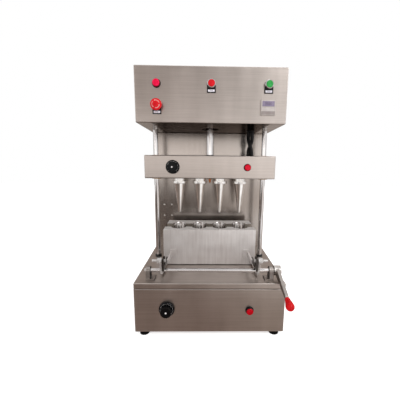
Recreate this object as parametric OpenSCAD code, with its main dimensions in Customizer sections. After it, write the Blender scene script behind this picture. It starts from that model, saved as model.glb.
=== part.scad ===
// Bench-top cone press: heated punches come down into a split mould and bake four cones.
// Millimetres. X is to the right, Y runs from front to back and Z is up from the table.
// Distances in Y are taken from the front face of the base, heights from the table.

/* [Housing] */
// Width of base, column and head
width = 520; // [500:5:600]
// Depth of the base, front to back
base_depth = 470; // [450:5:540]
// Height of the base without its feet
base_height = 180; // [150:5:220]
// Open height between the base and the underside of the head
throat_height = 540; // [530:5:620]
// Height of the head
head_height = 184; // [176:2:230]
// How far the front of the head stands behind the front of the base
head_setback = 104; // [80:2:130]
// Depth of the column at the back
column_depth = 85; // [70:1:100]
// Thickness of the sheet steel
sheet = 1.5; // [1:0.25:2.5]
// Depth of the folded lip round the lid of the base
lid_lip = 20; // [12:1:30]
// Height of the rubber feet
foot_h = 13; // [8:1:25]
// Diameter of the rubber feet
foot_d = 30; // [24:1:34]
// Distance of the feet from the sides of the base
foot_inset = 30; // [24:1:60]
// Distance of the feet's edges from the front and back of the base
foot_setback = 1; // [0:1:25]

/* [Press] */
// Distance of the punches and guide rods behind the front of the base
press_y = 264; // [254:1:274]
// Diameter of the guide rods
rod_d = 20; // [16:1:25]
// Distance of the guide rods from the sides
rod_inset = 36; // [30:1:40]
// Height of the moving crosshead
crosshead_height = 91; // [80:1:110]
// Depth of the moving crosshead
crosshead_depth = 118; // [110:2:140]
// Height of the raised punches above the mould
punch_lift = 50; // [40:1:70]
// Thickness of the plate that carries the punches
punch_plate_t = 16; // [10:1:25]
// Outer diameter of the actuator's fixed tube
tube_d = 30; // [28:1:36]
// Diameter of the actuator's moving ram
ram_d = 20; // [16:1:22]
// Diameter of the hole round the actuator in the head
tube_hole_d = 70; // [60:1:90]

/* [Punches and mould] */
// Spacing of the cones
cone_pitch = 85; // [76:1:88]
// Punch diameter under its flange
punch_top_d = 46; // [36:1:48]
// Punch diameter at its tip
punch_tip_d = 12; // [8:1:20]
// Length of the tapered punch
punch_length = 125; // [100:1:130]
// Diameter of the punch flange
flange_d = 61; // [58:1:68]
// Thickness of the punch flange
flange_t = 10; // [6:1:14]
// Depth of the flange face below the crosshead
flange_drop = 23; // [18:1:30]
// Thickness of batter between punch and mould
batter_gap = 4; // [3:0.5:5]
// Thickness of the mould under the cones
mould_floor = 17; // [12:1:25]
// Width of the mould
mould_width = 366; // [360:2:384]
// Depth of the fixed rear half
rear_depth = 62; // [56:1:80]
// Depth of the sliding front half
front_depth = 50; // [48:1:60]
// Diameter of the rods that the front half slides on
slide_rod_d = 10; // [8:1:12]
// Diameter of the cartridge heaters
heater_d = 12; // [8:1:14]

/* [Mould lever] */
// Distance of the lever shaft behind the front of the base
shaft_y = 40; // [36:1:48]
// Height of the lever shaft above the base
shaft_lift = 30.5; // [29:0.5:34]
// Diameter of the lever shaft
shaft_d = 14; // [12:1:16]
// Radius of the cranks
crank_r = 48; // [42:1:52]
// Forward tilt of the cranks with the mould open
crank_tilt = 25; // [15:1:30]
// Turn of the lever that closes the mould
lever_swing = 70; // [60:1:76]
// Droop of the lever with the mould open
lever_droop = 18; // [10:1:20]
// Length of the lever from its shaft to the end of the grip
lever_length = 170; // [150:1:200]
// Length of the grip
grip_length = 44; // [40:1:60]
// Largest diameter of the grip
grip_d = 27; // [22:1:32]

/* [Controls] */
// Diameter of the panel holes for lamps and buttons
panel_hole_d = 22.5; // [20:0.5:25]
// Diameter of the push-button caps
cap_d = 23; // [20:0.5:25]
// Travel of the push buttons
cap_travel = 4; // [2:0.5:5]
// Diameter of the emergency-stop mushroom
mushroom_d = 38; // [32:1:44]
// Travel of the emergency stop
mushroom_travel = 5; // [3:0.5:7]
// Distance of the left-hand head controls from the side
left_inset = 75; // [50:1:90]
// Distance of the right-hand head controls from the side
right_inset = 65; // [50:1:90]
// Height of the upper row of head controls above the head's lower edge
upper_row = 127; // [122:1:136]
// Height of the emergency stop above the head's lower edge
lower_row = 56; // [50:1:62]
// Height of the timer above the head's lower edge
timer_row = 53; // [50:1:62]
// Width of the legend plates
legend_w = 30; // [28:1:34]
// Side of the square timer
timer_w = 50; // [44:1:54]
// Diameter of the lamp lenses
lens_d = 25; // [20:1:28]
// Diameter of the thermostat knobs' skirts
knob_d = 54; // [46:1:64]
// Distance of the knobs and the crosshead's lamp from the sides
knob_inset = 112; // [90:1:130]
// Distance of the base's lamp from the side
base_lamp_inset = 122; // [100:1:140]
// Height of the base's lamp above the bottom of the base
base_row = 81; // [70:1:100]
// Height of the base's knob above the bottom of the base
base_knob_row = 87; // [70:1:100]

/* [Power leads] */
// Distance of the leads from the side
lead_inset = 90; // [88:1:110]
// Distance of the leads behind the punches
lead_back = 26; // [20:1:32]
// Diameter of each lead
lead_d = 15; // [10:1:16]

/* [Hidden] */
$fn = 64;

// Clearances
running_fit = 0.05;
moving_gap = 0.3;
panel_fit = 0.25;

// Levels and faces of the housing
half_w = width / 2;
base_top = foot_h + base_height;
head_bottom = base_top + throat_height;
head_top = head_bottom + head_height;
column_front = base_depth - column_depth;
lid_gap = 0.5;
lid_seam = 1.5;
lid_step = base_top - lid_lip - lid_seam;
neck_inset = sheet + lid_gap;
foot_front = foot_setback + foot_d / 2;
foot_back = base_depth - foot_front;
column_louvres = 90;

// Mould, and the punches at the top of their travel
seat_gap = 1;
cavity_floor = base_top + mould_floor;
mould_top = cavity_floor + batter_gap + punch_length - seat_gap;
press_travel = punch_lift + punch_length - seat_gap;
punch_tip = mould_top + punch_lift;
flange_face = punch_tip + punch_length;

// Crosshead at the top of its travel
rod_x = half_w - rod_inset;
foot_collar_wall = 3.5;
foot_collar_h = 7;
crosshead_bottom = flange_face + flange_drop;
crosshead_top = crosshead_bottom + crosshead_height;
crosshead_mid = (crosshead_top + crosshead_bottom) / 2;
crosshead_front = press_y - crosshead_depth / 2;
crosshead_back = press_y + crosshead_depth / 2;
punch_plate_top = crosshead_bottom + punch_plate_t;
bush_wall = 5;
bush_d = rod_d + 2 * bush_wall;
bush_flange_d = bush_d + 8;
bush_flange_t = 4;

// Punches and cavities
cone_count = 4;
cone_xs = [for (i = [0 : cone_count - 1]) (i - (cone_count - 1) / 2) * cone_pitch];
wall_xs = [for (i = [0 : cone_count - 2]) (cone_xs[i] + cone_xs[i + 1]) / 2];
lip_depth = 5;
punch_stud_d = 16;
punch_nut_w = 24;
punch_nut_h = 13;

// Linear actuator above the crosshead
tube_gap = 4;
tube_bottom = crosshead_top + tube_gap;
ram_room = 2;
tube_bore = ram_d + 2 * ram_room;
beam_t = 4;
beam_h = 24;
beam_inner = 60;
beam_top = head_top - sheet;
gearbox_h = 54;
gearbox_top = beam_top - beam_t;
gearbox_bottom = gearbox_top - gearbox_h;
ram_end_gap = 12;
ram_top = gearbox_bottom - ram_end_gap;
ram_foot_rim = 14;
ram_foot_r = ram_d / 2 + ram_foot_rim;
ram_foot_t = 10;
motor_offset = 54;
motor_d = 44;
motor_length = 90;
nose_lip = 2;
nose_length = 20;

// Slide of the front mould half, open as drawn
closing_gap = 0.3;
mould_stroke = crank_r * (sin(crank_tilt) + sin(lever_swing - crank_tilt));
front_parting = press_y - closing_gap - mould_stroke;
front_face = front_parting - front_depth;
slide_inset = 11;
slide_x = mould_width / 2 - slide_inset;
slide_clear = 2;
slide_wall = 1.5;
slide_bush_d = slide_rod_d + 3;
slide_z = base_top + slide_clear + slide_wall + slide_bush_d / 2;
slide_rod_grip = 40;
heater_length = 100;
heater_wall = 9;
rear_heater_y = press_y + rear_depth - heater_d / 2 - heater_wall;
front_heater_y = front_face + heater_d / 2 + heater_wall;

// Lever shaft, cranks and their forked drag bars
shaft_z = base_top + shaft_lift;
hub_r = shaft_d / 2 + 8;
bracket_t = 14;
bracket_inset = 51;
bracket_x = half_w - bracket_inset;
lever_gap = 3;
lever_x = bracket_x + bracket_t + lever_gap;
lever_hub_length = 24;
lever_hub_r = hub_r + 2;
lever_t = 10;
lever_tip_r = 6.5;
tang_d = 8;
tang_length = 30;
grip_r = grip_d / 2;
grip_neck_r = 7.5;
lever_reach = lever_length - grip_length - lever_tip_r;
crank_inset = 6;
crank_x = slide_x - crank_inset;
crank_t = 6;
crank_end_r = 11;
stud_d = 10;
stud_out = 26;
stud_nut_w = 17;
stud_nut_h = 8;
pin_y = shaft_y - crank_r * sin(crank_tilt);
pin_low = shaft_z + crank_r * cos(max(crank_tilt, lever_swing - crank_tilt));
slot_play = 2.6;
slot_half = stud_d / 2 + slot_play;
stud_in = 4;
fork_t = 6;
fork_gap = 4;
fork_x = crank_x - fork_gap - fork_t;
fork_rise = 6;
fork_tail = 60;
prong_w = 9;
shaft_room = 4.5;
drag_bottom = shaft_z + shaft_d / 2 + shaft_room;
drag_top = pin_low - slot_half;
drag_t = 6;
drag_x = fork_x - drag_t;
drag_lap = 30;
drag_foot_w = 22;
drag_foot_h = 30;
slide_rod_gap = 3;
slide_rod_front = shaft_y + hub_r + slide_rod_gap;
support_w = slide_rod_d + 4;
support_setback = 40;
support_y = 14;

// Lever tip and mains gland set the middle of the whole machine
gland_out = 16;
lever_front = shaft_y - (lever_length - grip_r) * cos(lever_droop) - grip_r;
mid_y = (lever_front + base_depth + gland_out) / 2;

// Places on the panels, as X and Z
left_controls_x = half_w - left_inset;
right_controls_x = half_w - right_inset;
knob_x = half_w - knob_inset;
base_lamp_x = half_w - base_lamp_inset;
base_row_z = foot_h + base_row;
base_knob_z = foot_h + base_knob_row;
lamp_place = [-left_controls_x, head_bottom + upper_row];
emergency_place = [-left_controls_x, head_bottom + lower_row];
stop_place = [0, head_bottom + upper_row];
start_place = [right_controls_x, head_bottom + upper_row];
head_holes = [lamp_place, emergency_place, stop_place, start_place];
legend_places = [emergency_place, stop_place, start_place];

// Parts on the panels
edge = 1.5;
legend_t = 2;
legend_below = 28;
bezel_wall = 2.5;
bezel_floor = 1;
cap_t = 7;
cap_proud = 2;
bezel_h = bezel_floor + moving_gap + cap_travel + cap_t - cap_proud;
cap_stem_d = 8;
cap_stem = 14;
block_w = 28;
block_depth = 40;
collar_d = 30;
collar_h = 5;
mushroom_h = 13;
mushroom_rim = 4;
mushroom_stem_d = 14;
mushroom_stem = 28;
lamp_ring = 2;
lamp_bezel_h = 3.5;
lamp_lens_h = 8.5;
lamp_body = 34;
timer_h = 6;
timer_depth = 80;
timer_frame = 4;
timer_inset = 1.5;
timer_lap = 1.5;
timer_mid = head_bottom + timer_row;
timer_front = head_setback - timer_h;
timer_open = timer_w / 2 - timer_frame;
timer_cut = timer_w / 2 - timer_lap;
screen_t = 1;
display_h = 17;
keypad_h = 20;
knob_h = 23;
knob_gap = 1;
knob_step = 8;
knob_skirt_h = 5;
knob_bevel = 3;
knob_flutes = 20;
knob_flute_d = 5;
spindle_d = 6;
spindle_length = 20;
thermostat_w = 40;
thermostat_depth = 38;
thermostat_neck_d = 10;
thermostat_neck = 3;
mains_inset = 70;
mains_lift = 60;
mains_x = mains_inset - half_w;
mains_z = foot_h + mains_lift;
mains_bore_d = 9;

// Ends of the power leads
lead_gap = 1;
gland_nut_h = 8;
grommet_h = 3;
grommet_d = 2 * lead_d + lead_gap + 2 * edge;
lead_x = half_w - lead_inset;
lead_y = press_y + lead_back;
lead_top = head_bottom - grommet_h;
lead_bottom = crosshead_top + grommet_h;
lead_straight = 0.05;
lead_starts = [-35, 145];
lead_twist = 180;
lead_spread = (lead_d + lead_gap) / 2;
lead_rings = 20;
lead_sides = 10;

steel = "#b9b2ac";
bright = "#d5d5d2";
alloy = "#cfcdc8";
black = "#1c1c1e";
red = "#d21a22";
green = "#2f9e4a";
brass = "#b98a4a";

// Puts a piece drawn from the front of the base into the machine's own frame.
module in_frame() {
  translate([0, -mid_y, 0]) children();
}

function span(mid, half) = [mid - half, mid + half];
function from(start, length) = [start, start + length];
// Reach of a cut through a sheet whose outer face is at start
function through(start) = [start - sheet, start + 2 * sheet];

// Block between two X, two Y and two Z values
module block(x, y, z) {
  translate([x[0], y[0], z[0]]) cube([x[1] - x[0], y[1] - y[0], z[1] - z[0]]);
}

module bar_x(d, x, y, z) {
  translate([x[0], y, z]) rotate([0, 90, 0]) cylinder(h = x[1] - x[0], d = d);
}

module bar_y(d, x, y, z) {
  translate([x, y[0], z]) rotate([-90, 0, 0]) cylinder(h = y[1] - y[0], d = d);
}

module bar_z(d, x, y, z) {
  translate([x, y, z[0]]) cylinder(h = z[1] - z[0], d = d);
}

// Sets a part that is turned about Z on a panel, so that its Z points out to the front.
module on_panel(x, y, z) {
  translate([x, y, z]) rotate([90, 0, 0]) children();
}

// Turned part from a list of radius and height
module turned(profile) {
  rotate([0, 0, 90]) rotate_extrude() polygon(profile);
}

// Flat plate in the YZ plane, t thick, from x to the right
module side_plate(x, t) {
  translate([x, 0, 0]) rotate([90, 0, 90]) linear_extrude(t) children();
}

module both_sides() {
  children();
  mirror([1, 0, 0]) children();
}

// Two discs with straight flanks between them, along +X
module link(r1, r2, reach) {
  a = acos((r1 - r2) / reach);
  circle(r1);
  translate([reach, 0]) circle(r2);
  polygon([
    r1 * [cos(a), sin(a)], r1 * [cos(a), -sin(a)],
    [reach, 0] + r2 * [cos(a), -sin(a)], [reach, 0] + r2 * [cos(a), sin(a)]
  ]);
}

// Two stacks of slots through a rear cover, from z upwards
module louvres(z, count) {
  slot_length = 130;
  slot_h = 5;
  slot_pitch = 14;
  for (x = half_w / 2 * [-1, 1], i = [0 : count - 1])
    block(span(x, slot_length / 2), through(base_depth - sheet), from(z + i * slot_pitch, slot_h));
}

// Block of the base's outline, set in from its sides, between two heights
module base_block(inset, z) {
  block((half_w - inset) * [-1, 1], [inset, base_depth - inset], z);
}

// Flush with the lid, with a neck that stands inside the lid's lip
module base_housing() {
  color(steel) in_frame() difference() {
    union() {
      base_block(0, [foot_h, lid_step]);
      base_block(neck_inset, [lid_step - sheet, base_top - sheet]);
    }
    base_block(sheet, [0, lid_step - sheet]);
    base_block(neck_inset + sheet, [0, base_top]);
    bar_y(thermostat_neck_d + 2 * panel_fit, -knob_x, through(0), base_knob_z);
    bar_y(panel_hole_d, base_lamp_x, through(0), base_row_z);
    bar_y(panel_hole_d, mains_x, through(base_depth - sheet), mains_z);
  }
}

module base_top_plate() {
  color(steel) in_frame() difference() {
    base_block(0, [base_top - lid_lip, base_top]);
    base_block(sheet, [0, base_top - sheet]);
  }
}

module base_bottom_plate() {
  vent_x = 110;
  vent_length = 90;
  vent_w = 5;
  vent_pitch = 16;
  vent_rows = 6;
  color(steel) in_frame() difference() {
    base_block(sheet, [foot_h, foot_h + sheet]);
    for (x = vent_x * [-1, 1], i = [1 : vent_rows])
      block(span(x, vent_length / 2), from(base_depth / 2 + (i - vent_rows / 2) * vent_pitch, vent_w),
        through(foot_h));
  }
}

module rubber_feet() {
  r = foot_d / 2;
  round_r = 3;
  color(black) in_frame()
    for (x = (half_w - foot_inset) * [-1, 1], y = [foot_front, foot_back])
      translate([x, y, 0]) turned(concat(
        [[0, 0]],
        [for (a = [-90 : 30 : 0]) [r, round_r] + round_r * [cos(a) - 1, sin(a)]],
        [[r, foot_h], [0, foot_h]]
      ));
}

module back_column() {
  color(steel) in_frame() difference() {
    block([-half_w, half_w], [column_front, base_depth - sheet], [base_top, head_bottom]);
    block((half_w - sheet) * [-1, 1], [column_front + sheet, base_depth], [0, head_top]);
  }
}

module column_rear_cover() {
  color(steel) in_frame() difference() {
    block([-half_w, half_w], [base_depth - sheet, base_depth], [base_top, head_bottom]);
    louvres(base_top + column_louvres, 8);
  }
}

module head_housing() {
  panel = through(head_setback);
  color(steel) in_frame() difference() {
    block([-half_w, half_w], [head_setback, base_depth - sheet], [head_bottom, head_top]);
    block((half_w - sheet) * [-1, 1], [head_setback + sheet, base_depth], [0, head_top - sheet]);
    for (p = head_holes) bar_y(panel_hole_d, p[0], panel, p[1]);
    block(span(right_controls_x, timer_cut), panel,
      span(timer_mid, timer_cut));
  }
}

module head_bottom_plate() {
  color(steel) in_frame() difference() {
    block((half_w - sheet) * [-1, 1], [head_setback + sheet, base_depth - sheet],
      [head_bottom, head_bottom + sheet]);
    bar_z(tube_hole_d, 0, press_y, through(head_bottom));
  }
}

module head_rear_cover() {
  color(steel) in_frame() difference() {
    block([-half_w, half_w], [base_depth - sheet, base_depth], [head_bottom, head_top]);
    louvres(head_bottom + head_height / 2, 4);
  }
}

module guide_rods() {
  color(bright) in_frame()
    for (x = rod_x * [-1, 1]) bar_z(rod_d, x, press_y, [base_top, head_bottom]);
}

module rod_foot_collars() {
  inner = rod_d / 2 + running_fit;
  outer = rod_d / 2 + foot_collar_wall;
  color(black) in_frame()
    for (x = rod_x * [-1, 1])
      translate([x, press_y, base_top]) turned([
        [inner, 0], [outer, 0], [outer, foot_collar_h - edge], [outer - edge, foot_collar_h],
        [inner, foot_collar_h]
      ]);
}

module actuator_beam() {
  beam_y = span(press_y, beam_inner / 2 + beam_t);
  color(steel) in_frame() difference() {
    block((half_w - sheet) * [-1, 1], beam_y, [beam_top - beam_h, beam_top]);
    block([-half_w, half_w], span(press_y, beam_inner / 2), [0, gearbox_top]);
  }
}

module actuator_drive() {
  gearbox_r = beam_inner / 2 - 4;
  color("#8d9094") in_frame() translate([0, press_y, 0]) {
    translate([0, 0, gearbox_bottom]) linear_extrude(gearbox_top - gearbox_bottom)
      link(gearbox_r, gearbox_r - 1, motor_offset);
    bar_z(motor_d, motor_offset, 0, [gearbox_bottom - motor_length, gearbox_bottom]);
  }
}

module actuator_tube() {
  color(bright) in_frame() translate([0, press_y, 0]) difference() {
    bar_z(tube_d, 0, 0, [tube_bottom, gearbox_bottom]);
    bar_z(tube_bore, 0, 0, [0, head_top]);
  }
}

module actuator_nose_bush() {
  inner = ram_d / 2 + running_fit;
  color(black) in_frame() translate([0, press_y, tube_bottom]) turned([
    [inner, -nose_lip], [tube_d / 2, -nose_lip], [tube_d / 2, 0], [tube_bore / 2, 0],
    [tube_bore / 2, nose_length], [inner, nose_length]
  ]);
}

// Black ring of a signal lamp with its body behind the panel
module lamp_bezel() {
  ring_r = lens_d / 2 + lamp_ring;
  turned([
    [0, -lamp_body], [panel_hole_d / 2 - panel_fit, -lamp_body], [panel_hole_d / 2 - panel_fit, 0],
    [ring_r, 0], [ring_r, lamp_bezel_h - edge], [ring_r - edge, lamp_bezel_h], [0, lamp_bezel_h]
  ]);
}

module lamp_lens() {
  lens_r = lens_d / 2;
  round_r = 4;
  translate([0, 0, lamp_bezel_h]) turned(concat(
    [[0, 0], [lens_r, 0]],
    [for (a = [0 : 15 : 90])
      [lens_r, lamp_lens_h] + round_r * [cos(a) - 1, sin(a) - 1]],
    [[0, lamp_lens_h]]
  ));
}

module lamp_bezels() {
  color(black) in_frame() {
    on_panel(lamp_place[0], head_setback, lamp_place[1]) lamp_bezel();
    on_panel(base_lamp_x, 0, base_row_z) lamp_bezel();
  }
}

module lamp_lenses() {
  color(red) in_frame() {
    on_panel(lamp_place[0], head_setback, lamp_place[1]) lamp_lens();
    on_panel(base_lamp_x, 0, base_row_z) lamp_lens();
  }
}

// Bezel of a push button on its legend plate, with the contact block behind the panel
module button_bezel() {
  outer = cap_d / 2 + moving_gap + bezel_wall;
  inner = cap_d / 2 + moving_gap;
  stem_r = cap_stem_d / 2 + moving_gap;
  block_front = -legend_t - sheet;
  stem_floor = bezel_floor - cap_stem - moving_gap;
  difference() {
    union() {
      turned([
        [0, block_front], [panel_hole_d / 2 - panel_fit, block_front],
        [panel_hole_d / 2 - panel_fit, 0], [outer, 0], [outer, bezel_h - edge],
        [outer - edge, bezel_h], [0, bezel_h]
      ]);
      block(span(0, block_w / 2), span(0, block_w / 2), [block_front - block_depth, block_front]);
    }
    translate([0, 0, bezel_floor]) cylinder(h = bezel_h, r = inner);
    translate([0, 0, stem_floor]) cylinder(h = bezel_h - stem_floor, r = stem_r);
  }
}

module button_bezels() {
  color(bright) in_frame()
    for (p = [stop_place, start_place]) on_panel(p[0], head_setback - legend_t, p[1]) button_bezel();
}

module button_cap() {
  cap_front = bezel_h + cap_proud;
  cap_r = cap_d / 2;
  cap_back = cap_front - cap_t;
  turned([
    [0, cap_back - cap_stem], [cap_stem_d / 2, cap_back - cap_stem], [cap_stem_d / 2, cap_back],
    [cap_r, cap_back], [cap_r, cap_front - edge], [cap_r - edge, cap_front], [0, cap_front]
  ]);
}

module stop_cap() {
  color(red) in_frame() on_panel(stop_place[0], head_setback - legend_t, stop_place[1]) button_cap();
}

module start_cap() {
  color(green) in_frame()
    on_panel(start_place[0], head_setback - legend_t, start_place[1]) button_cap();
}

module emergency_collar() {
  block_front = -legend_t - sheet;
  color(black) in_frame() on_panel(emergency_place[0], head_setback - legend_t, emergency_place[1])
    difference() {
      union() {
        turned([
          [0, block_front], [panel_hole_d / 2 - panel_fit, block_front],
          [panel_hole_d / 2 - panel_fit, 0], [collar_d / 2, 0], [collar_d / 2 - 2, collar_h],
          [0, collar_h]
        ]);
        block(span(0, block_w / 2), span(0, block_w / 2),
          [block_front - block_depth, block_front]);
      }
      translate([0, 0, block_front - block_depth / 2])
        cylinder(h = block_depth, r = mushroom_stem_d / 2 + moving_gap);
    }
}

module emergency_mushroom() {
  head_r = mushroom_d / 2;
  back = collar_h + mushroom_travel + 2 * moving_gap;
  rim = back + mushroom_rim;
  crown_h = 7;
  steps = 8;
  crown_r = (head_r * head_r + crown_h * crown_h) / (2 * crown_h);
  crown_a = asin(head_r / crown_r);
  color(red) in_frame() on_panel(emergency_place[0], head_setback - legend_t, emergency_place[1])
    turned(concat(
      [[0, rim - mushroom_stem], [mushroom_stem_d / 2, rim - mushroom_stem],
       [mushroom_stem_d / 2, back], [head_r - mushroom_rim, back], [head_r, rim]],
      [for (i = [0 : steps]) let (a = crown_a * (1 - i / steps))
        [crown_r * sin(a), back + mushroom_h - crown_r + crown_r * cos(a)]]
    ));
}

module legend_plates() {
  color(black) in_frame() difference() {
    for (p = legend_places) {
      bar_y(legend_w, p[0], [head_setback - legend_t, head_setback], p[1]);
      block(span(p[0], legend_w / 2), [head_setback - legend_t, head_setback], [p[1] - legend_below, p[1]]);
    }
    for (p = legend_places)
      bar_y(panel_hole_d, p[0], [head_setback - 2 * legend_t, head_setback + legend_t], p[1]);
  }
}

module timer_case() {
  body = timer_cut - panel_fit;
  color("#c9c6c2") in_frame() difference() {
    union() {
      block(span(right_controls_x, timer_w / 2), [timer_front, head_setback],
        span(timer_mid, timer_w / 2));
      block(span(right_controls_x, body), [head_setback, head_setback + timer_depth],
        span(timer_mid, body));
    }
    block(span(right_controls_x, timer_open), [0, timer_front + timer_inset],
      span(timer_mid, timer_open));
  }
}

module timer_display() {
  color("#9a95ab") in_frame()
    block(span(right_controls_x, timer_open), from(timer_front + timer_inset - screen_t, screen_t),
      from(timer_mid + timer_open - display_h, display_h));
}

module timer_keypad() {
  color("#e4e2de") in_frame()
    block(span(right_controls_x, timer_open), from(timer_front + timer_inset - screen_t, screen_t),
      from(timer_mid - timer_open, keypad_h));
}

// Thermostat behind a panel at the origin, its spindle out to the front
module thermostat() {
  half = thermostat_w / 2;
  block(half * [-1, 1], half * [-1, 1], [-sheet - thermostat_depth, -sheet]);
  translate([0, 0, -sheet]) cylinder(h = sheet + thermostat_neck, d = thermostat_neck_d);
  cylinder(h = spindle_length, d = spindle_d);
}

// Fluted knob on a skirt that carries a dial, with a bore for the spindle
module knob() {
  skirt_r = knob_d / 2;
  fluted_r = skirt_r - knob_step;
  lift = thermostat_neck + knob_gap;
  difference() {
    union() {
      translate([0, 0, lift]) turned([
        [0, 0], [skirt_r, 0], [skirt_r, knob_skirt_h - knob_bevel],
        [skirt_r - knob_bevel, knob_skirt_h], [0, knob_skirt_h]
      ]);
      translate([0, 0, lift + knob_skirt_h]) linear_extrude(knob_h - knob_skirt_h) difference() {
        circle(fluted_r);
        for (i = [0 : knob_flutes - 1])
          rotate(i * 360 / knob_flutes) translate([fluted_r + 1, 0]) circle(d = knob_flute_d);
      }
    }
    cylinder(h = spindle_length + knob_gap, d = spindle_d + 2 * running_fit);
  }
}

module lower_thermostat() {
  color(bright) in_frame() on_panel(-knob_x, 0, base_knob_z) thermostat();
}

module lower_knob() {
  color(black) in_frame() on_panel(-knob_x, 0, base_knob_z) knob();
}

module upper_thermostat() {
  color(bright) in_frame() on_panel(-knob_x, crosshead_front, crosshead_mid) thermostat();
}

module upper_knob() {
  color(black) in_frame() on_panel(-knob_x, crosshead_front, crosshead_mid) knob();
}

module crosshead_lamp_bezel() {
  color(black) in_frame() on_panel(knob_x, crosshead_front, crosshead_mid) lamp_bezel();
}

module crosshead_lamp_lens() {
  color(red) in_frame() on_panel(knob_x, crosshead_front, crosshead_mid) lamp_lens();
}

// Low grommet round both power leads, standing on z = 0
module lead_grommet() {
  r = grommet_d / 2;
  turned([[0, 0], [r, 0], [r, grommet_h - edge], [r - edge, grommet_h], [0, grommet_h]]);
}

module cable_glands() {
  mains_r = panel_hole_d / 2;
  mains_nut_r = mains_r + 4;
  mains_inside = -sheet - gland_nut_h;
  color(black) in_frame() {
    translate([lead_x, lead_y, head_bottom]) mirror([0, 0, 1]) lead_grommet();
    translate([mains_x, base_depth, mains_z]) rotate([-90, 0, 0]) turned([
      [mains_bore_d / 2, mains_inside], [mains_r - panel_fit, mains_inside],
      [mains_r - panel_fit, 0], [mains_nut_r, 0], [mains_nut_r, gland_nut_h],
      [mains_r - edge, gland_out], [mains_bore_d / 2, gland_out]
    ]);
  }
}

module crosshead_gland() {
  color(black) in_frame() translate([lead_x, lead_y, crosshead_top]) lead_grommet();
}

// Middle of one lead at t from 0 (top) to 1 (bottom), straight at both ends
function ease(t) = let (s = min(1, max(0, (t - lead_straight) / (1 - 2 * lead_straight))))
  s * s * (3 - 2 * s);
function lead_point(start, t) = let (a = start + lead_twist * ease(t)) [
  lead_spread * cos(a), lead_spread * sin(a), lead_top + (lead_bottom - lead_top) * t
];
function unit(v) = v / norm(v);
function lead_frame(start, t) = let (
  d = unit(lead_point(start, min(1, t + 0.01)) - lead_point(start, max(0, t - 0.01))),
  u = unit(cross([0, 1, 0], d))
) [u, cross(d, u)];
function lead_ring(start, t) = let (p = lead_point(start, t), f = lead_frame(start, t)) [
  for (k = [0 : lead_sides - 1]) let (a = 360 * k / lead_sides)
    p + lead_d / 2 * (cos(a) * f[0] + sin(a) * f[1])
];

module lead(start) {
  last = lead_rings - 1;
  points = [for (i = [0 : last]) each lead_ring(start, i / last)];
  sides = [for (i = [0 : last - 1], k = [0 : lead_sides - 1])
    let (a = i * lead_sides + k, b = i * lead_sides + (k + 1) % lead_sides)
      each [[a, a + lead_sides, b], [b, a + lead_sides, b + lead_sides]]];
  top = [for (k = [0 : lead_sides - 1]) k];
  bottom = [for (k = [lead_sides - 1 : -1 : 0]) last * lead_sides + k];
  polyhedron(points, concat(sides, [top, bottom]));
}

module power_leads() {
  color(black) in_frame() translate([lead_x, lead_y, 0])
    for (start = lead_starts) lead(start);
}

// Cone cavity round the Z axis, open upwards
module cavity() {
  mouth_r = punch_top_d / 2 + batter_gap;
  floor_r = punch_tip_d / 2 + batter_gap;
  lip_r = flange_d / 2 - 1;
  turned([
    [0, cavity_floor], [floor_r, cavity_floor], [mouth_r, mould_top - lip_depth],
    [lip_r, mould_top], [lip_r, mould_top + 1], [0, mould_top + 1]
  ]);
}

module heaters(y, z) {
  for (x = wall_xs) bar_z(heater_d, x, y, from(z, heater_length));
}

module mould_rear_half() {
  color(alloy) in_frame() difference() {
    block(mould_width / 2 * [-1, 1], from(press_y, rear_depth), [base_top, mould_top]);
    for (x = cone_xs) translate([x, press_y, 0]) cavity();
    for (x = slide_x * [-1, 1]) bar_y(slide_rod_d, x, [press_y - 1, press_y + slide_rod_grip], slide_z);
    heaters(rear_heater_y, base_top);
  }
}

module rear_heaters() {
  color(bright) in_frame() heaters(rear_heater_y, base_top);
}

module mould_front_half() {
  color(alloy) in_frame() difference() {
    block(mould_width / 2 * [-1, 1], [front_face, front_parting], [base_top + slide_clear, mould_top]);
    for (x = cone_xs) translate([x, front_parting, 0]) cavity();
    for (x = slide_x * [-1, 1]) bar_y(slide_bush_d, x, [front_face - 1, front_parting + 1], slide_z);
    heaters(front_heater_y, base_top + slide_clear);
  }
}

module front_heaters() {
  color(bright) in_frame() heaters(front_heater_y, base_top + slide_clear);
}

module slide_bushings() {
  color(brass) in_frame() difference() {
    for (x = slide_x * [-1, 1]) bar_y(slide_bush_d, x, [front_face, front_parting], slide_z);
    for (x = slide_x * [-1, 1]) bar_y(slide_rod_d + 2 * running_fit, x, [0, base_depth], slide_z);
  }
}

module mould_guide_rods() {
  color(bright) in_frame()
    for (x = slide_x * [-1, 1])
      bar_y(slide_rod_d, x, [slide_rod_front, press_y + slide_rod_grip], slide_z);
}

module slide_rod_supports() {
  support_front = slide_rod_front + support_setback;
  color(steel) in_frame() difference() {
    for (x = slide_x * [-1, 1])
      block(span(x, support_w / 2), from(support_front, support_y),
        [base_top, slide_z + slide_rod_d / 2 + 2]);
    for (x = slide_x * [-1, 1]) bar_y(slide_rod_d, x, [0, base_depth], slide_z);
  }
}

module shaft_bracket() {
  foot_l = 30;
  foot_t = 5;
  foot_y = span(shaft_y, hub_r + slide_rod_gap);
  difference() {
    union() {
      side_plate(bracket_x, bracket_t) {
        translate([shaft_y, shaft_z]) circle(hub_r);
        polygon([
          [foot_y[0], base_top], [foot_y[1], base_top],
          [shaft_y + hub_r, shaft_z], [shaft_y - hub_r, shaft_z]
        ]);
      }
      block(from(bracket_x + bracket_t - foot_l, foot_l), foot_y, [base_top, base_top + foot_t]);
    }
    bar_x(shaft_d + 2 * running_fit, [0, half_w], shaft_y, shaft_z);
  }
}

module shaft_brackets() {
  color(steel) in_frame() both_sides() shaft_bracket();
}

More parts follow.
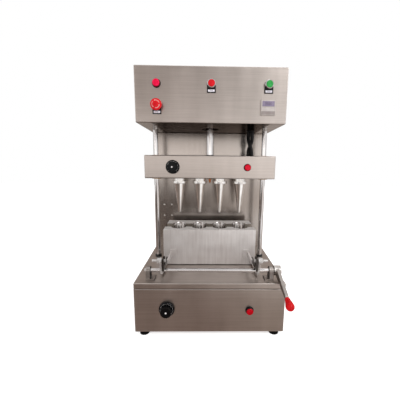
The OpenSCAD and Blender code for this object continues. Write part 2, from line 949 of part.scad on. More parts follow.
module lever_shaft() {
  color(bright) in_frame()
    bar_x(shaft_d, [-lever_x - lever_gap, lever_x + lever_hub_length + 1], shaft_y, shaft_z);
}

module crank_arm() {
  side_plate(crank_x, crank_t) translate([shaft_y, shaft_z]) rotate(90 + crank_tilt) difference() {
    link(hub_r, crank_end_r, crank_r);
    circle(d = shaft_d);
    translate([crank_r, 0]) circle(d = stud_d);
  }
}

module crank_arms() {
  color(bright) in_frame() both_sides() crank_arm();
}

// Stud through the fork and the crank, with a nut against the crank
module crank_stud() {
  z = shaft_z + crank_r * cos(crank_tilt);
  bar_x(stud_d, [fork_x - stud_in, crank_x + crank_t + stud_out], pin_y, z);
  translate([crank_x + crank_t, pin_y, z]) rotate([0, 90, 0])
    cylinder(h = stud_nut_h, d = stud_nut_w / cos(30), $fn = 6);
}

module crank_studs() {
  color(bright) in_frame() both_sides() crank_stud();
}

module on_lever() {
  translate([lever_x, shaft_y, shaft_z]) rotate([lever_droop, 0, 0]) rotate([90, 0, 0]) children();
}

module lever_arm() {
  plate_x = (lever_hub_length - lever_t) / 2;
  color(bright) in_frame() on_lever() difference() {
    union() {
      rotate([0, 90, 0]) cylinder(h = lever_hub_length, r = lever_hub_r);
      translate([plate_x, 0, 0]) rotate([0, 90, 0]) rotate([0, 0, 180]) linear_extrude(lever_t)
        link(lever_hub_r - 2, lever_tip_r, lever_reach);
      translate([lever_hub_length / 2, 0, lever_reach])
        cylinder(h = lever_tip_r + tang_length, d = tang_d);
    }
    translate([-1, 0, 0]) rotate([0, 90, 0]) cylinder(h = lever_hub_length + 2, d = shaft_d);
  }
}

// Drop-shaped grip: a cone that runs into a ball
module lever_grip() {
  ball = grip_length - grip_r;
  flank = asin((grip_r - grip_neck_r) / ball);
  steps = 12;
  color(red) in_frame() on_lever()
    translate([lever_hub_length / 2, 0, lever_length - grip_length]) difference() {
      turned(concat(
        [[0, 0], [grip_neck_r - 1, 0], [grip_neck_r, 1]],
        [for (i = [0 : steps]) let (a = -flank + (90 + flank) * i / steps)
          [grip_r * cos(a), ball + grip_r * sin(a)]]
      ));
      translate([0, 0, -1]) cylinder(h = tang_length + 1, d = tang_d);
    }
}

module crosshead_housing() {
  color(steel) in_frame() difference() {
    block([-half_w, half_w], [crosshead_front, crosshead_back], [crosshead_bottom, crosshead_top]);
    block((half_w - sheet) * [-1, 1], [crosshead_front + sheet, crosshead_back - sheet],
      [0, crosshead_top - sheet]);
    bar_y(thermostat_neck_d + 2 * panel_fit, -knob_x, through(crosshead_front), crosshead_mid);
    bar_y(panel_hole_d, knob_x, through(crosshead_front), crosshead_mid);
    bar_z(ram_d + 6, 0, press_y, through(crosshead_top - sheet));
    for (x = rod_x * [-1, 1]) bar_z(bush_d, x, press_y, through(crosshead_top - sheet));
  }
}

module punch_plate() {
  color(alloy) in_frame() difference() {
    block((half_w - sheet) * [-1, 1], [crosshead_front + sheet, crosshead_back - sheet],
      [crosshead_bottom, punch_plate_top]);
    for (x = rod_x * [-1, 1]) bar_z(bush_d, x, press_y, [0, head_top]);
    for (x = cone_xs) bar_z(punch_stud_d + 2 * panel_fit, x, press_y, [0, head_top]);
  }
}

module guide_bushings() {
  inner = rod_d / 2 + running_fit;
  color(brass) in_frame()
    for (x = rod_x * [-1, 1]) translate([x, press_y, 0]) turned([
      [inner, crosshead_bottom - bush_flange_t], [bush_flange_d / 2, crosshead_bottom - bush_flange_t],
      [bush_flange_d / 2, crosshead_bottom], [bush_d / 2, crosshead_bottom],
      [bush_d / 2, crosshead_top + 2], [inner, crosshead_top + 2]
    ]);
}

// Tapered punch with its flange, collar and fixing stud
module punch(i) {
  tip_r = punch_tip_d / 2;
  collar_r = punch_top_d / 2;
  flange_r = flange_d / 2;
  stud_top = punch_plate_top + punch_nut_h + 4;
  color(bright) in_frame() translate([cone_xs[i], press_y, 0]) turned([
    [0, punch_tip], [tip_r - edge, punch_tip], [tip_r, punch_tip + edge], [collar_r, flange_face],
    [flange_r - 1, flange_face], [flange_r, flange_face + 1], [flange_r, flange_face + flange_t],
    [collar_r, flange_face + flange_t], [collar_r, crosshead_bottom],
    [punch_stud_d / 2, crosshead_bottom], [punch_stud_d / 2, stud_top], [0, stud_top]
  ]);
}

module punch_1() { punch(0); }

module punch_2() { punch(1); }

module punch_3() { punch(2); }

module punch_4() { punch(3); }

module punch_nuts() {
  color(bright) in_frame() for (x = cone_xs) translate([x, press_y, punch_plate_top]) difference() {
    cylinder(h = punch_nut_h, d = punch_nut_w / cos(30), $fn = 6);
    translate([0, 0, -1]) cylinder(h = punch_nut_h + 2, d = punch_stud_d);
  }
}

module sensor_probe() {
  tip = flange_face + 3;
  r = 4;
  nut_r = 8;
  nut_h = 5;
  color("#b5673c") in_frame() translate([0, press_y, 0]) turned([
    [0, tip], [r - 1, tip], [r, tip + 1], [r, crosshead_bottom - nut_h],
    [nut_r, crosshead_bottom - nut_h], [nut_r, crosshead_bottom], [0, crosshead_bottom]
  ]);
}

module actuator_ram() {
  foot_top = punch_plate_top + ram_foot_t;
  color(bright) in_frame() translate([0, press_y, 0]) turned([
    [0, punch_plate_top], [ram_foot_r, punch_plate_top], [ram_foot_r, foot_top],
    [ram_d / 2, foot_top],
    [ram_d / 2, ram_top], [0, ram_top]
  ]);
}

// Flat bar with a foot that ties the front mould half to a fork
module drag_bar() {
  foot_z = (drag_bottom + drag_top - drag_foot_h) / 2;
  block(from(drag_x, drag_t), [shaft_y + fork_tail - drag_lap, front_face], [drag_bottom, drag_top]);
  block(from(drag_x + drag_t - drag_foot_w, drag_foot_w), [front_face - drag_t, front_face],
    from(foot_z, drag_foot_h));
}

module drag_bars() {
  color(bright) in_frame() both_sides() drag_bar();
}

// Open fork round a crank stud, lapped on its drag bar
module fork_plate() {
  fork_top = shaft_z + crank_r + fork_rise;
  fork_front = pin_y - slot_half - prong_w;
  fork_back = pin_y + slot_half + prong_w;
  tail = shaft_y + fork_tail;
  side_plate(fork_x, fork_t) polygon([
    [fork_front, drag_bottom], [tail, drag_bottom], [tail, drag_top], [fork_back, drag_top],
    [fork_back, fork_top], [pin_y + slot_half, fork_top], [pin_y + slot_half, drag_top],
    [pin_y - slot_half, drag_top], [pin_y - slot_half, fork_top], [fork_front, fork_top]
  ]);
}

module fork_plates() {
  color(black) in_frame() both_sides() fork_plate();
}

base_housing();
base_top_plate();
base_bottom_plate();
rubber_feet();
back_column();
column_rear_cover();
head_housing();
head_bottom_plate();
head_rear_cover();
guide_rods();
rod_foot_collars();
actuator_beam();
actuator_drive();
actuator_tube();
actuator_nose_bush();
lamp_bezels();
lamp_lenses();
button_bezels();
emergency_collar();
legend_plates();
timer_case();
timer_display();
timer_keypad();
lower_thermostat();
cable_glands();
power_leads();
mould_rear_half();
rear_heaters();
mould_guide_rods();
slide_rod_supports();
shaft_brackets();
crosshead_housing();
punch_plate();
guide_bushings();
punch_1();
punch_2();
punch_3();
punch_4();
punch_nuts();
upper_thermostat();
crosshead_lamp_bezel();
crosshead_lamp_lens();
sensor_probe();
actuator_ram();
crosshead_gland();
mould_front_half();
slide_bushings();
front_heaters();
drag_bars();
fork_plates();
lever_shaft();
crank_arms();
crank_studs();
lever_arm();
lever_grip();
stop_cap();
start_cap();
emergency_mushroom();
upper_knob();
lower_knob();
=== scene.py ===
import bmesh
import bpy
import math
from mathutils import Matrix, Vector


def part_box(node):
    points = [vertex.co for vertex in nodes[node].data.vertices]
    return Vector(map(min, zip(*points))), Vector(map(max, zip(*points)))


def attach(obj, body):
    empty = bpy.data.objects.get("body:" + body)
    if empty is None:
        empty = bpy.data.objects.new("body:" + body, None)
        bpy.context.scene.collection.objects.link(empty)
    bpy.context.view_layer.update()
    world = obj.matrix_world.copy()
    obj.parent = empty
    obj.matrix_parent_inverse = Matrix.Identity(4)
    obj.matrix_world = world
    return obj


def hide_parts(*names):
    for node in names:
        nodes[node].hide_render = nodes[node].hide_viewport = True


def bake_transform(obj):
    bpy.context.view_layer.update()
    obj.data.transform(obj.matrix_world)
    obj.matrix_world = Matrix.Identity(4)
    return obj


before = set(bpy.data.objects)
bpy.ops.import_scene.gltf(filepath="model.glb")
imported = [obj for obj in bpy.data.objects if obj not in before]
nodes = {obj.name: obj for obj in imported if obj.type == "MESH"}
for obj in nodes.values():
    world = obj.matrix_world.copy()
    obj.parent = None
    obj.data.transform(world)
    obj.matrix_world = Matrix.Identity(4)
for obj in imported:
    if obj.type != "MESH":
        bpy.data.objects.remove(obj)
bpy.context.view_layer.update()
scene = bpy.context.scene
scene.view_settings.view_transform = "Standard"
mm = 0.001
mergeGap = 0.001 * mm  # points closer than this become one
planeGap = 0.01 * mm  # an edge this close to a plane lies on it
flatAngle = math.radians(0.5)  # faces that turn less than this from each other become one
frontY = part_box("base_top_plate")[0][1]  # front face of the base, from where distances in Y are taken
faceFront = Matrix.Rotation(math.pi / 2, 4, "X")  # turns what is drawn facing up to face the front
print("frame loaded,", len(nodes), "nodes")


def place(x, y, z):
    return Vector((x * mm, frontY + y * mm, z * mm))


def middleOf(name):
    low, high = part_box(name)
    return (Vector(low) + Vector(high)) / 2


# camera at the photograph's viewpoint, worked out from the edges of the housing
cameraSpec = {"place": (-15.6, -962.9, 593.8), "yaw": 0.0187, "pitch": 0.1644, "roll": 0.0099,
              "focalPixels": 246.1, "imagePixels": 400, "middle": (210.5, 204.9), "sensor": 36}


def makeCamera(spec):
    yaw, pitch, roll = spec["yaw"], spec["pitch"], spec["roll"]
    ahead = Vector((math.sin(yaw) * math.cos(pitch), math.cos(yaw) * math.cos(pitch), -math.sin(pitch)))
    level = Vector((math.cos(yaw), -math.sin(yaw), 0))
    upright = level.cross(ahead)
    right = level * math.cos(roll) + upright * math.sin(roll)
    up = upright * math.cos(roll) - level * math.sin(roll)
    data = bpy.data.cameras.new("camera")
    size = spec["imagePixels"]
    data.sensor_width = spec["sensor"]
    data.lens = spec["focalPixels"] / size * spec["sensor"]
    data.shift_x = (size / 2 - spec["middle"][0]) / size
    data.shift_y = (spec["middle"][1] - size / 2) / size
    camera = bpy.data.objects.new("camera", data)
    turn = Matrix((right, up, -ahead)).transposed().to_4x4()
    camera.matrix_world = Matrix.Translation(Vector(spec["place"]) * mm) @ turn
    scene.collection.objects.link(camera)
    scene.camera = camera


makeCamera(cameraSpec)
print("camera set")


def hexToLinear(code):
    parts = [int(code[i:i + 2], 16) / 255 for i in (1, 3, 5)]
    return (*[p / 12.92 if p <= 0.04045 else ((p + 0.055) / 1.055) ** 2.4 for p in parts], 1)


def addNode(tree, kind, inputs=None, links=None, stops=(), **settings):
    node = tree.nodes.new(kind)
    for name, value in settings.items():
        setattr(node, name, value)
    for name, value in (inputs or {}).items():
        node.inputs[name].default_value = value
    for name, socket in (links or {}).items():
        tree.links.new(socket, node.inputs[name])
    for i, (position, shade) in enumerate(stops):  # a new colour ramp has two stops already
        stop = node.color_ramp.elements[i] if i < 2 else node.color_ramp.elements.new(position)
        stop.position = position
        stop.color = hexToLinear(shade)
    return node


def emptyMaterial(name):
    material = bpy.data.materials.new(name)
    material.use_nodes = True
    material.node_tree.nodes.clear()
    return material, material.node_tree


def startMaterial(name, shaderInputs):
    material, tree = emptyMaterial(name)
    shader = addNode(tree, "ShaderNodeBsdfPrincipled", shaderInputs)
    addNode(tree, "ShaderNodeOutputMaterial", links={"Surface": shader.outputs["BSDF"]})
    return material, tree, shader, addNode(tree, "ShaderNodeTexCoord").outputs


# gloss is a value and the two ends of its range, relief a height and its depth in mm
def joinSurface(tree, shader, spec, colour, gloss, relief):
    roughness = addNode(tree, "ShaderNodeMapRange",
                        {"From Min": gloss[1], "From Max": gloss[2],
                         "To Min": spec["rough"][0], "To Max": spec["rough"][1]}, {"Value": gloss[0]})
    bump = addNode(tree, "ShaderNodeBump", {"Strength": spec["bump"], "Distance": relief[1] * mm},
                   {"Height": relief[0]})
    tree.links.new(colour, shader.inputs["Base Color"])
    tree.links.new(roughness.outputs["Result"], shader.inputs["Roughness"])
    tree.links.new(bump.outputs["Normal"], shader.inputs["Normal"])


# sheet and bar metal: colour and gloss wander along the grain that brushing, turning or grinding left, and
# on the side faces, where the brush ran front to back, the grain is turned; the real scratches are about
# 0.2 mm wide, too fine to show, so the streaks are drawn some millimetres wide
def metalMaterial(name, spec):
    material, tree, shader, coords = startMaterial(name, {"Metallic": spec.get("metal", 1)})
    grain = [1 / (size * mm) for size in spec["grain"]]  # streak size along X, Y and Z
    patch = [1 / (size * mm) for size in spec["clouds"]]
    along = addNode(tree, "ShaderNodeMapping", {"Scale": grain}, {"Vector": coords["Object"]})
    across = addNode(tree, "ShaderNodeMapping", {"Scale": (grain[1], grain[0], grain[2])},
                     {"Vector": coords["Object"]})
    facing = addNode(tree, "ShaderNodeSeparateXYZ", links={"Vector": coords["Normal"]})
    flank = addNode(tree, "ShaderNodeMath", {1: 2}, {0: facing.outputs["X"]}, operation="POWER")
    onFlank = addNode(tree, "ShaderNodeMath", {1: 0.5}, {0: flank.outputs["Value"]},
                      operation="GREATER_THAN")
    # a Mix node's sockets go by number: 0 is the factor, 4 and 5 are vectors, 6 and 7 colours
    laid = addNode(tree, "ShaderNodeMix", links={0: onFlank.outputs["Value"], 4: along.outputs["Vector"],
                                                 5: across.outputs["Vector"]}, data_type="VECTOR")
    streaks = addNode(tree, "ShaderNodeTexNoise", {"Scale": 1, "Detail": 4, "Roughness": 0.6},
                      {"Vector": laid.outputs[1]})
    hung = addNode(tree, "ShaderNodeMapping", {"Scale": patch}, {"Vector": coords["Object"]})
    clouds = addNode(tree, "ShaderNodeTexNoise", {"Scale": 1, "Detail": 3},
                     {"Vector": hung.outputs["Vector"]})
    blend = addNode(tree, "ShaderNodeMix", {"Factor": 0.5},
                    {"A": streaks.outputs["Fac"], "B": clouds.outputs["Fac"]}).outputs["Result"]
    low, high = 0.3, 0.7  # most of the noise lies between these
    ramp = addNode(tree, "ShaderNodeValToRGB", links={"Fac": blend},
                   stops=[(low, spec["dark"]), (high, spec["light"])])
    colour = ramp.outputs["Color"]
    # painted shade laid over the colour where a spec asks for it
    if "paintedShade" in spec:
        colour = addPaintedShade(tree, shader, coords, spec["paintedShade"], colour, blend, (low, high))
    joinSurface(tree, shader, spec, colour, (blend, low, high), (streaks.outputs["Fac"], 0.05))
    return material


# painted shade within a reach each side of the middle, fading out across it; its tint also dims a glancing
# reflection
def addPaintedShade(tree, shader, coords, spec, unshadedColour, blend, ends):
    spot = addNode(tree, "ShaderNodeSeparateXYZ", links={"Vector": coords["Object"]})
    aside = addNode(tree, "ShaderNodeMath", links={0: spot.outputs["X"]}, operation="ABSOLUTE")
    fade = addNode(tree, "ShaderNodeMapRange",
                   {"From Min": spec["reach"][0] * mm, "From Max": spec["reach"][1] * mm},
                   {"Value": aside.outputs["Value"]}, interpolation_type="SMOOTHSTEP").outputs["Result"]
    shadedColour = addNode(tree, "ShaderNodeValToRGB", links={"Fac": blend},
                      stops=[(ends[0], spec["dark"]), (ends[1], spec["light"])])
    glanceShade = addNode(tree, "ShaderNodeMix", {6: hexToLinear(spec["glanceShade"]), 7: (1, 1, 1, 1)}, {0: fade},
                   data_type="RGBA")
    tree.links.new(glanceShade.outputs[2], shader.inputs["Specular Tint"])
    mixed = addNode(tree, "ShaderNodeMix", links={0: fade, 6: shadedColour.outputs["Color"], 7: unshadedColour},
                    data_type="RGBA")
    return mixed.outputs[2]


metalSpecs = {
    # cold-rolled sheet, brushed along its length: long soft streaks and blurred reflections
    "brushedStainless": {"dark": "#aaa19b", "light": "#c3bab4", "grain": (180, 3, 3),
                         "clouds": (60, 60, 320), "rough": (0.27, 0.36), "bump": 0.12},
    # the same sheet with its mill finish: smoother, so things near it mirror in it
    "millStainless": {"dark": "#9d958f", "light": "#b0a8a2", "grain": (3, 3, 200),
                      "clouds": (120, 120, 120), "rough": (0.17, 0.24), "bump": 0.05},
    # underside of the head, darkened as painted shade, and darker still between the rods as more painted
    # shade
    "shadedUndersideStainless": {"dark": "#857c75", "light": "#9a9189", "grain": (120, 3, 3), "clouds": (80, 80, 80),
                        "rough": (0.2, 0.3), "bump": 0.06,
                        "paintedShade": {"reach": (198, 212), "dark": "#2d2521", "light": "#3a312c",
                                   "glanceShade": "#a89c95"}},
    # hard chrome, ground and polished: clear reflections
    "hardChromedSteel": {"dark": "#c2bebd", "light": "#d8d5d4", "grain": (2, 2, 60), "clouds": (40, 40, 40),
                         "rough": (0.1, 0.17), "bump": 0.03},
    # turned and polished steel: bright, with the clearest reflections
    "polishedPunchSteel": {"dark": "#d2cdc8", "light": "#ece9e6", "grain": (6, 6, 60),
                           "clouds": (30, 30, 30), "rough": (0.08, 0.14), "bump": 0.03},
    # milled block under a thin pale oxide: upright cutter streaks and a wide soft gloss
    "milledAluminium": {"dark": "#c8c1be", "light": "#e2dedc", "grain": (4, 4, 110), "clouds": (60, 60, 60),
                        "rough": (0.3, 0.42), "bump": 0.15, "metal": 0.62},
    # the same block on its upward faces: paler as painted light, with a soft bloom
    "groundAluminium": {"dark": "#d6d1ce", "light": "#eae7e5", "grain": (60, 3, 3), "clouds": (40, 40, 40),
                        "rough": (0.3, 0.4), "bump": 0.08, "metal": 0.3},
    # tapered seats in the mould, honed bright: clear reflections
    "honedAluminium": {"dark": "#989390", "light": "#b6b1ae", "grain": (3, 3, 40), "clouds": (20, 20, 20),
                       "rough": (0.1, 0.18), "bump": 0.05},
    # faces where the halves meet, darker brown as painted shade in the gap: dull, with little metal left to
    # see
    "stainedAluminium": {"dark": "#776e65", "light": "#8c8379", "grain": (5, 5, 40), "clouds": (25, 25, 25),
                         "rough": (0.3, 0.45), "bump": 0.1, "metal": 0.4},
    # bright zinc on steel bar and fasteners: pale, with a soft gloss; on the lever's hub it is painted light
    "zincPlatedSteel": {"dark": "#aaa5a1", "light": "#c9c4c0", "grain": (12, 5, 5), "clouds": (25, 25, 25),
                        "rough": (0.2, 0.32), "bump": 0.08},
    # satin nickel plate on the cranks: pale, with a wide soft gloss
    "nickelPlatedSteel": {"dark": "#b9b5b2", "light": "#d4d0ce", "grain": (8, 8, 8), "clouds": (20, 20, 20),
                          "rough": (0.24, 0.34), "bump": 0.08, "metal": 0.5},
    # forged lever and cast brackets, ground and left bare: greyer, with a dull gloss
    "bareSteel": {"dark": "#8d8682", "light": "#a9a29d", "grain": (8, 8, 8), "clouds": (22, 22, 22),
                  "rough": (0.3, 0.42), "bump": 0.15},
    # spring steel plate, tempered dark: deep grey with a low gloss
    "temperedSteel": {"dark": "#3b3735", "light": "#4d4845", "grain": (6, 6, 6), "clouds": (18, 18, 18),
                      "rough": (0.25, 0.36), "bump": 0.1},
    # die-cast housing: a grainy skin that scatters the light
    "castAlloy": {"dark": "#7f8286", "light": "#9a9da0", "grain": (2, 2, 2), "clouds": (20, 20, 20),
                  "rough": (0.4, 0.55), "bump": 0.3},
    # oil-filled sintered bronze: fine grain, dull gloss
    "sinteredBronze": {"dark": "#8f6a38", "light": "#b98f54", "grain": (1, 1, 1), "clouds": (12, 12, 12),
                       "rough": (0.3, 0.42), "bump": 0.15},
    # drawn copper tube, tarnished: patchy red brown
    "copperSheath": {"dark": "#8a4f30", "light": "#b8713f", "grain": (2, 2, 20), "clouds": (10, 10, 10),
                     "rough": (0.22, 0.34), "bump": 0.1},
}


# moulded plastic, rubber, oxide and ink: one colour, a little cloudy, with a fine pebble from the mould; the
# real pebble is about 0.1 mm, too fine to show, so it is drawn coarser
def mouldedMaterial(name, spec):
    material, tree, shader, coords = startMaterial(
        name, {"IOR": spec["ior"], "Specular IOR Level": spec["specular"],
               "Emission Strength": spec.get("glow", 0), "Emission Color": hexToLinear(spec["light"])})
    cloudSize = 15 * mm
    pebble = addNode(tree, "ShaderNodeTexNoise", {"Scale": 1 / (spec["pebble"] * mm), "Detail": 2},
                     {"Vector": coords["Object"]})
    clouds = addNode(tree, "ShaderNodeTexNoise", {"Scale": 1 / cloudSize, "Detail": 2},
                     {"Vector": coords["Object"]}).outputs["Fac"]
    ramp = addNode(tree, "ShaderNodeValToRGB", links={"Fac": clouds},
                   stops=[(0.35, spec["dark"]), (0.65, spec["light"])])
    joinSurface(tree, shader, spec, ramp.outputs["Color"], (clouds, 0, 1), (pebble.outputs["Fac"], 0.1))
    return material


mouldedSpecs = {
    # compression-moulded phenolic: deep black, even gloss
    "phenolicBlack": {"dark": "#030305", "light": "#07070b", "ior": 1.6, "specular": 0.12, "pebble": 1.2,
                      "rough": (0.25, 0.36), "bump": 0.05},
    # glass-filled nylon: black with a dull, pebbled skin
    "nylonBlack": {"dark": "#0c0b0d", "light": "#151416", "ior": 1.53, "specular": 0.25, "pebble": 0.8,
                   "rough": (0.4, 0.55), "bump": 0.15},
    # steel blackened in oil: black with a faint gloss; on the brackets' inner faces it is painted shade
    "blackOxideSteel": {"dark": "#0c0b0b", "light": "#181717", "ior": 1.8, "specular": 0.25, "pebble": 0.8,
                        "rough": (0.35, 0.5), "bump": 0.1},
    # clear red lens: even pinkish red, with a glow as painted light
    "redPolycarbonate": {"dark": "#d40636", "light": "#ee1450", "ior": 1.58, "specular": 0.15, "pebble": 3,
                         "rough": (0.12, 0.2), "bump": 0.02, "glow": 0.2},
    # the same lens with a fainter glow as painted light
    "redPolycarbonateDim": {"dark": "#cc0420", "light": "#e00c30", "ior": 1.58, "specular": 0.1, "pebble": 3,
                            "rough": (0.12, 0.2), "bump": 0.02, "glow": 0.1},
    # the same lens with its lamp off: darker red
    "redPolycarbonateUnlit": {"dark": "#b40012", "light": "#c8041a", "ior": 1.58, "specular": 0.1,
                              "pebble": 3, "rough": (0.12, 0.2), "bump": 0.02},
    # the side wall of a lens, darker red as painted shade
    "redPolycarbonateDeep": {"dark": "#7c0818", "light": "#900a20", "ior": 1.58, "specular": 0.1,
                             "pebble": 3, "rough": (0.12, 0.2), "bump": 0.02},
    # injection-moulded caps of the push buttons: clean colour, soft gloss
    "redAbs": {"dark": "#d3101c", "light": "#e81a26", "ior": 1.54, "specular": 0.12, "pebble": 1.2,
               "rough": (0.3, 0.42), "bump": 0.04},
    "greenAbs": {"dark": "#1f9a3f", "light": "#2fb050", "ior": 1.54, "specular": 0.35, "pebble": 1.2,
                 "rough": (0.25, 0.36), "bump": 0.04},
    # injection-moulded timer case: warm grey with a matt, finely eroded skin
    "greyAbs": {"dark": "#bdb3ae", "light": "#cbc2bd", "ior": 1.54, "specular": 0.3, "pebble": 0.6,
                "rough": (0.4, 0.5), "bump": 0.12},
    # dipped vinyl grip: smooth, waxy red
    "redVinylGrip": {"dark": "#c60610", "light": "#de0e18", "ior": 1.53, "specular": 0.14, "pebble": 2,
                     "rough": (0.22, 0.32), "bump": 0.05},
    # unlit liquid-crystal window behind clear plastic: violet grey with darker figures
    "lcdGlass": {"dark": "#877b92", "light": "#978ba2", "ior": 1.5, "specular": 0.4, "pebble": 4,
                 "rough": (0.14, 0.22), "bump": 0},
    "lcdSegment": {"dark": "#5d5369", "light": "#685d74", "ior": 1.5, "specular": 0.3, "pebble": 4,
                   "rough": (0.3, 0.4), "bump": 0},
    # printed polyester film on the timer's keys and the strip below them: flat and matt
    "keypadFilm": {"dark": "#c6bdb9", "light": "#d3cbc7", "ior": 1.5, "specular": 0.3, "pebble": 0.6,
                   "rough": (0.35, 0.45), "bump": 0.08},
    "keypadGrey": {"dark": "#968b87", "light": "#a39894", "ior": 1.5, "specular": 0.3, "pebble": 0.6,
                   "rough": (0.35, 0.45), "bump": 0.08},
    # coated white card of the legends
    "legendCard": {"dark": "#efe9f3", "light": "#faf6fc", "ior": 1.5, "specular": 0.3, "pebble": 0.7,
                   "rough": (0.4, 0.5), "bump": 0.06},
    # screen-printed inks: flat colour with hardly any gloss
    "whiteInk": {"dark": "#ded6d4", "light": "#ece6e4", "ior": 1.5, "specular": 0.2, "pebble": 0.5,
                 "rough": (0.5, 0.6), "bump": 0.05},
    "blackInk": {"dark": "#1b1a1d", "light": "#252427", "ior": 1.5, "specular": 0.2, "pebble": 0.5,
                 "rough": (0.5, 0.6), "bump": 0.05},
    "pinkInk": {"dark": "#e08a86", "light": "#efa39d", "ior": 1.5, "specular": 0.2, "pebble": 0.5,
                "rough": (0.5, 0.6), "bump": 0.05},
    # extruded silicone strip in the joint of the lid: dark grey and matt
    "greySilicone": {"dark": "#2b2725", "light": "#363130", "ior": 1.45, "specular": 0.2, "pebble": 0.7,
                     "rough": (0.5, 0.6), "bump": 0.1},
    # moulded rubber feet: black with no gloss
    "nitrileRubber": {"dark": "#060505", "light": "#0c0b0a", "ior": 1.52, "specular": 0.1, "pebble": 0.7,
                      "rough": (0.6, 0.75), "bump": 0.25},
}

# braided glass sleeve soaked in black silicone: two sets of ribs cross, duller in the gaps between them
sleeveSpec = {"dark": "#060607", "light": "#121214", "turns": (35, -35), "ribs": 2.4, "rough": (0.6, 0.4),
              "bump": 0.5}


def sleeveMaterial(name, spec):
    material, tree, shader, coords = startMaterial(name, {"IOR": 1.5, "Specular IOR Level": 0.3})
    pitch = math.tau / 20 / (spec["ribs"] * mm)  # a wave texture turns 20 radians in each unit
    heights = []
    for turn in spec["turns"]:
        laid = addNode(tree, "ShaderNodeMapping", {"Rotation": (0, math.radians(turn), 0)},
                       {"Vector": coords["Object"]})
        ribs = addNode(tree, "ShaderNodeTexWave", {"Scale": pitch, "Distortion": 0.4},
                       {"Vector": laid.outputs["Vector"]}, bands_direction="Z")
        heights.append(ribs.outputs["Fac"])
    braid = addNode(tree, "ShaderNodeMath", links={0: heights[0], 1: heights[1]},
                    operation="MAXIMUM").outputs["Value"]
    ramp = addNode(tree, "ShaderNodeValToRGB", links={"Fac": braid},
                   stops=[(0.2, spec["dark"]), (0.9, spec["light"])])
    joinSurface(tree, shader, spec, ramp.outputs["Color"], (braid, 0, 1), (braid, 0.4))
    return material


finish = {name: metalMaterial(name, spec) for name, spec in metalSpecs.items()}
finish.update({name: mouldedMaterial(name, spec) for name, spec in mouldedSpecs.items()})
finish["siliconeSleeve"] = sleeveMaterial("siliconeSleeve", sleeveSpec)

# every node gets its finish, also those that a piece below stands for
nodeFinish = {
    "brushedStainless": ["base_housing", "base_top_plate", "base_bottom_plate", "column_rear_cover",
                         "head_housing", "head_rear_cover", "crosshead_housing", "actuator_beam"],
    "millStainless": ["back_column", "slide_rod_supports"],
    # the head's underside takes the stainless darkened as painted shade
    "shadedUndersideStainless": ["head_bottom_plate"],
    "hardChromedSteel": ["guide_rods", "actuator_ram", "actuator_tube", "mould_guide_rods", "button_bezels",
                         "lever_shaft"],
    "polishedPunchSteel": ["punch_1", "punch_2", "punch_3", "punch_4"],
    "milledAluminium": ["mould_rear_half", "mould_front_half", "punch_plate", "drag_bars"],
    "temperedSteel": ["fork_plates"],
    "bareSteel": ["shaft_brackets", "lever_arm"],
    "nickelPlatedSteel": ["crank_arms", "crank_studs"],
    "zincPlatedSteel": ["punch_nuts", "rear_heaters", "front_heaters", "upper_thermostat",
                        "lower_thermostat"],
    "castAlloy": ["actuator_drive"],
    "sinteredBronze": ["guide_bushings", "slide_bushings"],
    "copperSheath": ["sensor_probe"],
    "phenolicBlack": ["upper_knob", "lower_knob", "lamp_bezels", "crosshead_lamp_bezel"],
    "nylonBlack": ["emergency_collar", "legend_plates", "cable_glands", "crosshead_gland",
                   "actuator_nose_bush"],
    "blackOxideSteel": ["rod_foot_collars"],
    "redPolycarbonate": ["lamp_lenses"],
    "redPolycarbonateDim": ["crosshead_lamp_lens"],
    "redAbs": ["stop_cap", "emergency_mushroom"],
    "redVinylGrip": ["lever_grip"],
    "greenAbs": ["start_cap"],
    "greyAbs": ["timer_case"],
    "lcdGlass": ["timer_display"],
    "keypadFilm": ["timer_keypad"],
    "nitrileRubber": ["rubber_feet"],
    "siliconeSleeve": ["power_leads"],
}
for name, members in nodeFinish.items():
    for member in members:
        nodes[member].data.materials.clear()
        nodes[member].data.materials.append(finish[name])
print("finishes on", sum(len(members) for members in nodeFinish.values()), "nodes")


def addObject(name, bm, materials):
    mesh = bpy.data.meshes.new(name)
    bm.to_mesh(mesh)
    bm.free()
    for material in materials:
        mesh.materials.append(material)
    made = bpy.data.objects.new(name, mesh)
    scene.collection.objects.link(made)
    return made


def addPiece(name, bm, finishes, body=None, replaced=()):
    piece = addObject(name, bm, [finish[each] for each in finishes.split()])
    if body:
        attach(piece, body)
    if replaced:
        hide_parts(*replaced)
    return piece


def addedSince(bm, old):
    return [vert for vert in bm.verts if vert not in old]


# spins an outline of radius and height in mm round the Z axis
def spinOutline(bm, outline, steps):
    old = set(bm.verts)
    verts = [bm.verts.new((radius * mm, 0, height * mm)) for radius, height in outline]
    edges = [bm.edges.new(pair) for pair in zip(verts, verts[1:])]
    bmesh.ops.spin(bm, geom=verts + edges, cent=(0, 0, 0), axis=(0, 0, 1), angle=math.tau, steps=steps,
                   use_merge=True)
    return addedSince(bm, old)


def closeShape(bm):
    bmesh.ops.remove_doubles(bm, verts=bm.verts, dist=mergeGap)
    bmesh.ops.recalc_face_normals(bm, faces=bm.faces)


# block with rounded edges, its size and rounding in mm
def addBlock(bm, middle, size, rounding):
    old = set(bm.verts)
    sides = Matrix.Diagonal((*[side * mm for side in size], 1))
    made = bmesh.ops.create_cube(bm, size=1, matrix=Matrix.Translation(middle) @ sides)["verts"]
    bmesh.ops.bevel(bm, geom=list({edge for vert in made for edge in vert.link_edges}), offset=rounding * mm,
                    offset_type="OFFSET", affect="EDGES", segments=2, profile=0.5, material=-1)
    return addedSince(bm, old)


def standUp(bm, verts, point):
    bmesh.ops.transform(bm, matrix=Matrix.Translation(point) @ faceFront, verts=verts)


# the two sleeved leads between head and crosshead, twisted half a turn round each other
leadSpec = {"middle": (170, 290), "top": 730, "bottom": 630, "spread": 8, "diameter": 15, "twist": 180,
            "starts": {"leadLeft": 145, "leadRight": -35}, "straight": 0.05, "points": 25, "sides": 20}


